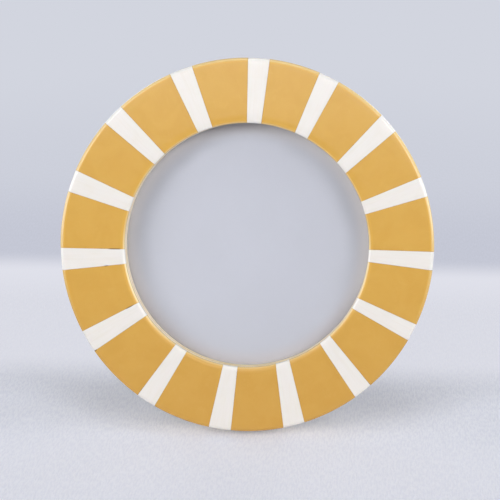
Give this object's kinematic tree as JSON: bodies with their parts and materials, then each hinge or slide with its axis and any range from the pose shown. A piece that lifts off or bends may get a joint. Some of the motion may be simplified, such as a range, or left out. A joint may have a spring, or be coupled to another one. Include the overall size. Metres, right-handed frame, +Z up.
{
  "type": "round tabletop photo frame",
  "caption": "Round photo frame with an inlaid ring of bone strips and ochre resin panels, glass, turn-button back, saw-tooth hanger and a folding easel leg.",
  "frame": {"origin": "middle of the object's bounding box in X and Y, on the surface it stands on", "axes": "+X to the viewer's right when the face is looked at, +Y to the rear, +Z up; the face looks to -Y and leans back 14 degrees"},
  "size_m": [0.15, 0.0511, 0.1487],
  "materials": {
    "bone": "satin",
    "ochre_resin": "satin",
    "lacquered_board": "satin",
    "clear_glass": "polished",
    "insert_card": "matte",
    "flocked_board": "matte",
    "plated_steel": "satin"
  },
  "bodies": {
    "frame": {"core_front_ring": "lacquered_board", "core_rear_ring": "lacquered_board", "bone_strip_01": "bone", "bone_strip_02": "bone", "bone_strip_03": "bone", "bone_strip_04": "bone", "bone_strip_05": "bone", "bone_strip_06": "bone", "bone_strip_07": "bone", "bone_strip_08": "bone", "bone_strip_09": "bone", "bone_strip_10": "bone", "bone_strip_11": "bone", "bone_strip_12": "bone", "bone_strip_13": "bone", "bone_strip_14": "bone", "bone_strip_15": "bone", "resin_panel_01": "ochre_resin", "resin_panel_02": "ochre_resin", "resin_panel_03": "ochre_resin", "resin_panel_04": "ochre_resin", "resin_panel_05": "ochre_resin", "resin_panel_06": "ochre_resin", "resin_panel_07": "ochre_resin", "resin_panel_08": "ochre_resin", "resin_panel_09": "ochre_resin", "resin_panel_10": "ochre_resin", "resin_panel_11": "ochre_resin", "resin_panel_12": "ochre_resin", "resin_panel_13": "ochre_resin", "resin_panel_14": "ochre_resin", "resin_panel_15": "ochre_resin", "glass_pane": "clear_glass", "photo_insert": "insert_card", "back_board": "flocked_board", "hinge_plate": "plated_steel", "hinge_pin": "plated_steel", "hinge_plate_rivets": "plated_steel", "turn_button_screws": "plated_steel", "hanger": "plated_steel", "hanger_nails": "plated_steel"},
    "leg": {"easel_leg": "flocked_board", "hinge_leaf": "plated_steel", "hinge_leaf_rivets": "plated_steel"},
    "button_1": {"turn_button_1": "plated_steel"},
    "button_2": {"turn_button_2": "plated_steel"},
    "button_3": {"turn_button_3": "plated_steel"},
    "button_4": {"turn_button_4": "plated_steel"}
  },
  "joints": [
    {"name": "leg_hinge", "type": "hinge", "parent": "frame", "child": "leg", "pos_m": [0, 0.0158, 0.09921], "axis": [1, 0, 0], "range_deg": [-19, 0]},
    {"name": "button_1_turn", "type": "hinge", "parent": "frame", "child": "button_1", "pos_m": [0.04243, 0.01716, 0.11374], "axis": [0, 0.9703, -0.2419], "continuous": true},
    {"name": "button_2_turn", "type": "hinge", "parent": "frame", "child": "button_2", "pos_m": [-0.04243, 0.01716, 0.11374], "axis": [0, 0.9703, -0.2419], "continuous": true},
    {"name": "button_3_turn", "type": "hinge", "parent": "frame", "child": "button_3", "pos_m": [-0.04243, -0.00337, 0.03141], "axis": [0, 0.9703, -0.2419], "continuous": true},
    {"name": "button_4_turn", "type": "hinge", "parent": "frame", "child": "button_4", "pos_m": [0.04243, -0.00337, 0.03141], "axis": [0, 0.9703, -0.2419], "continuous": true}
  ]
}
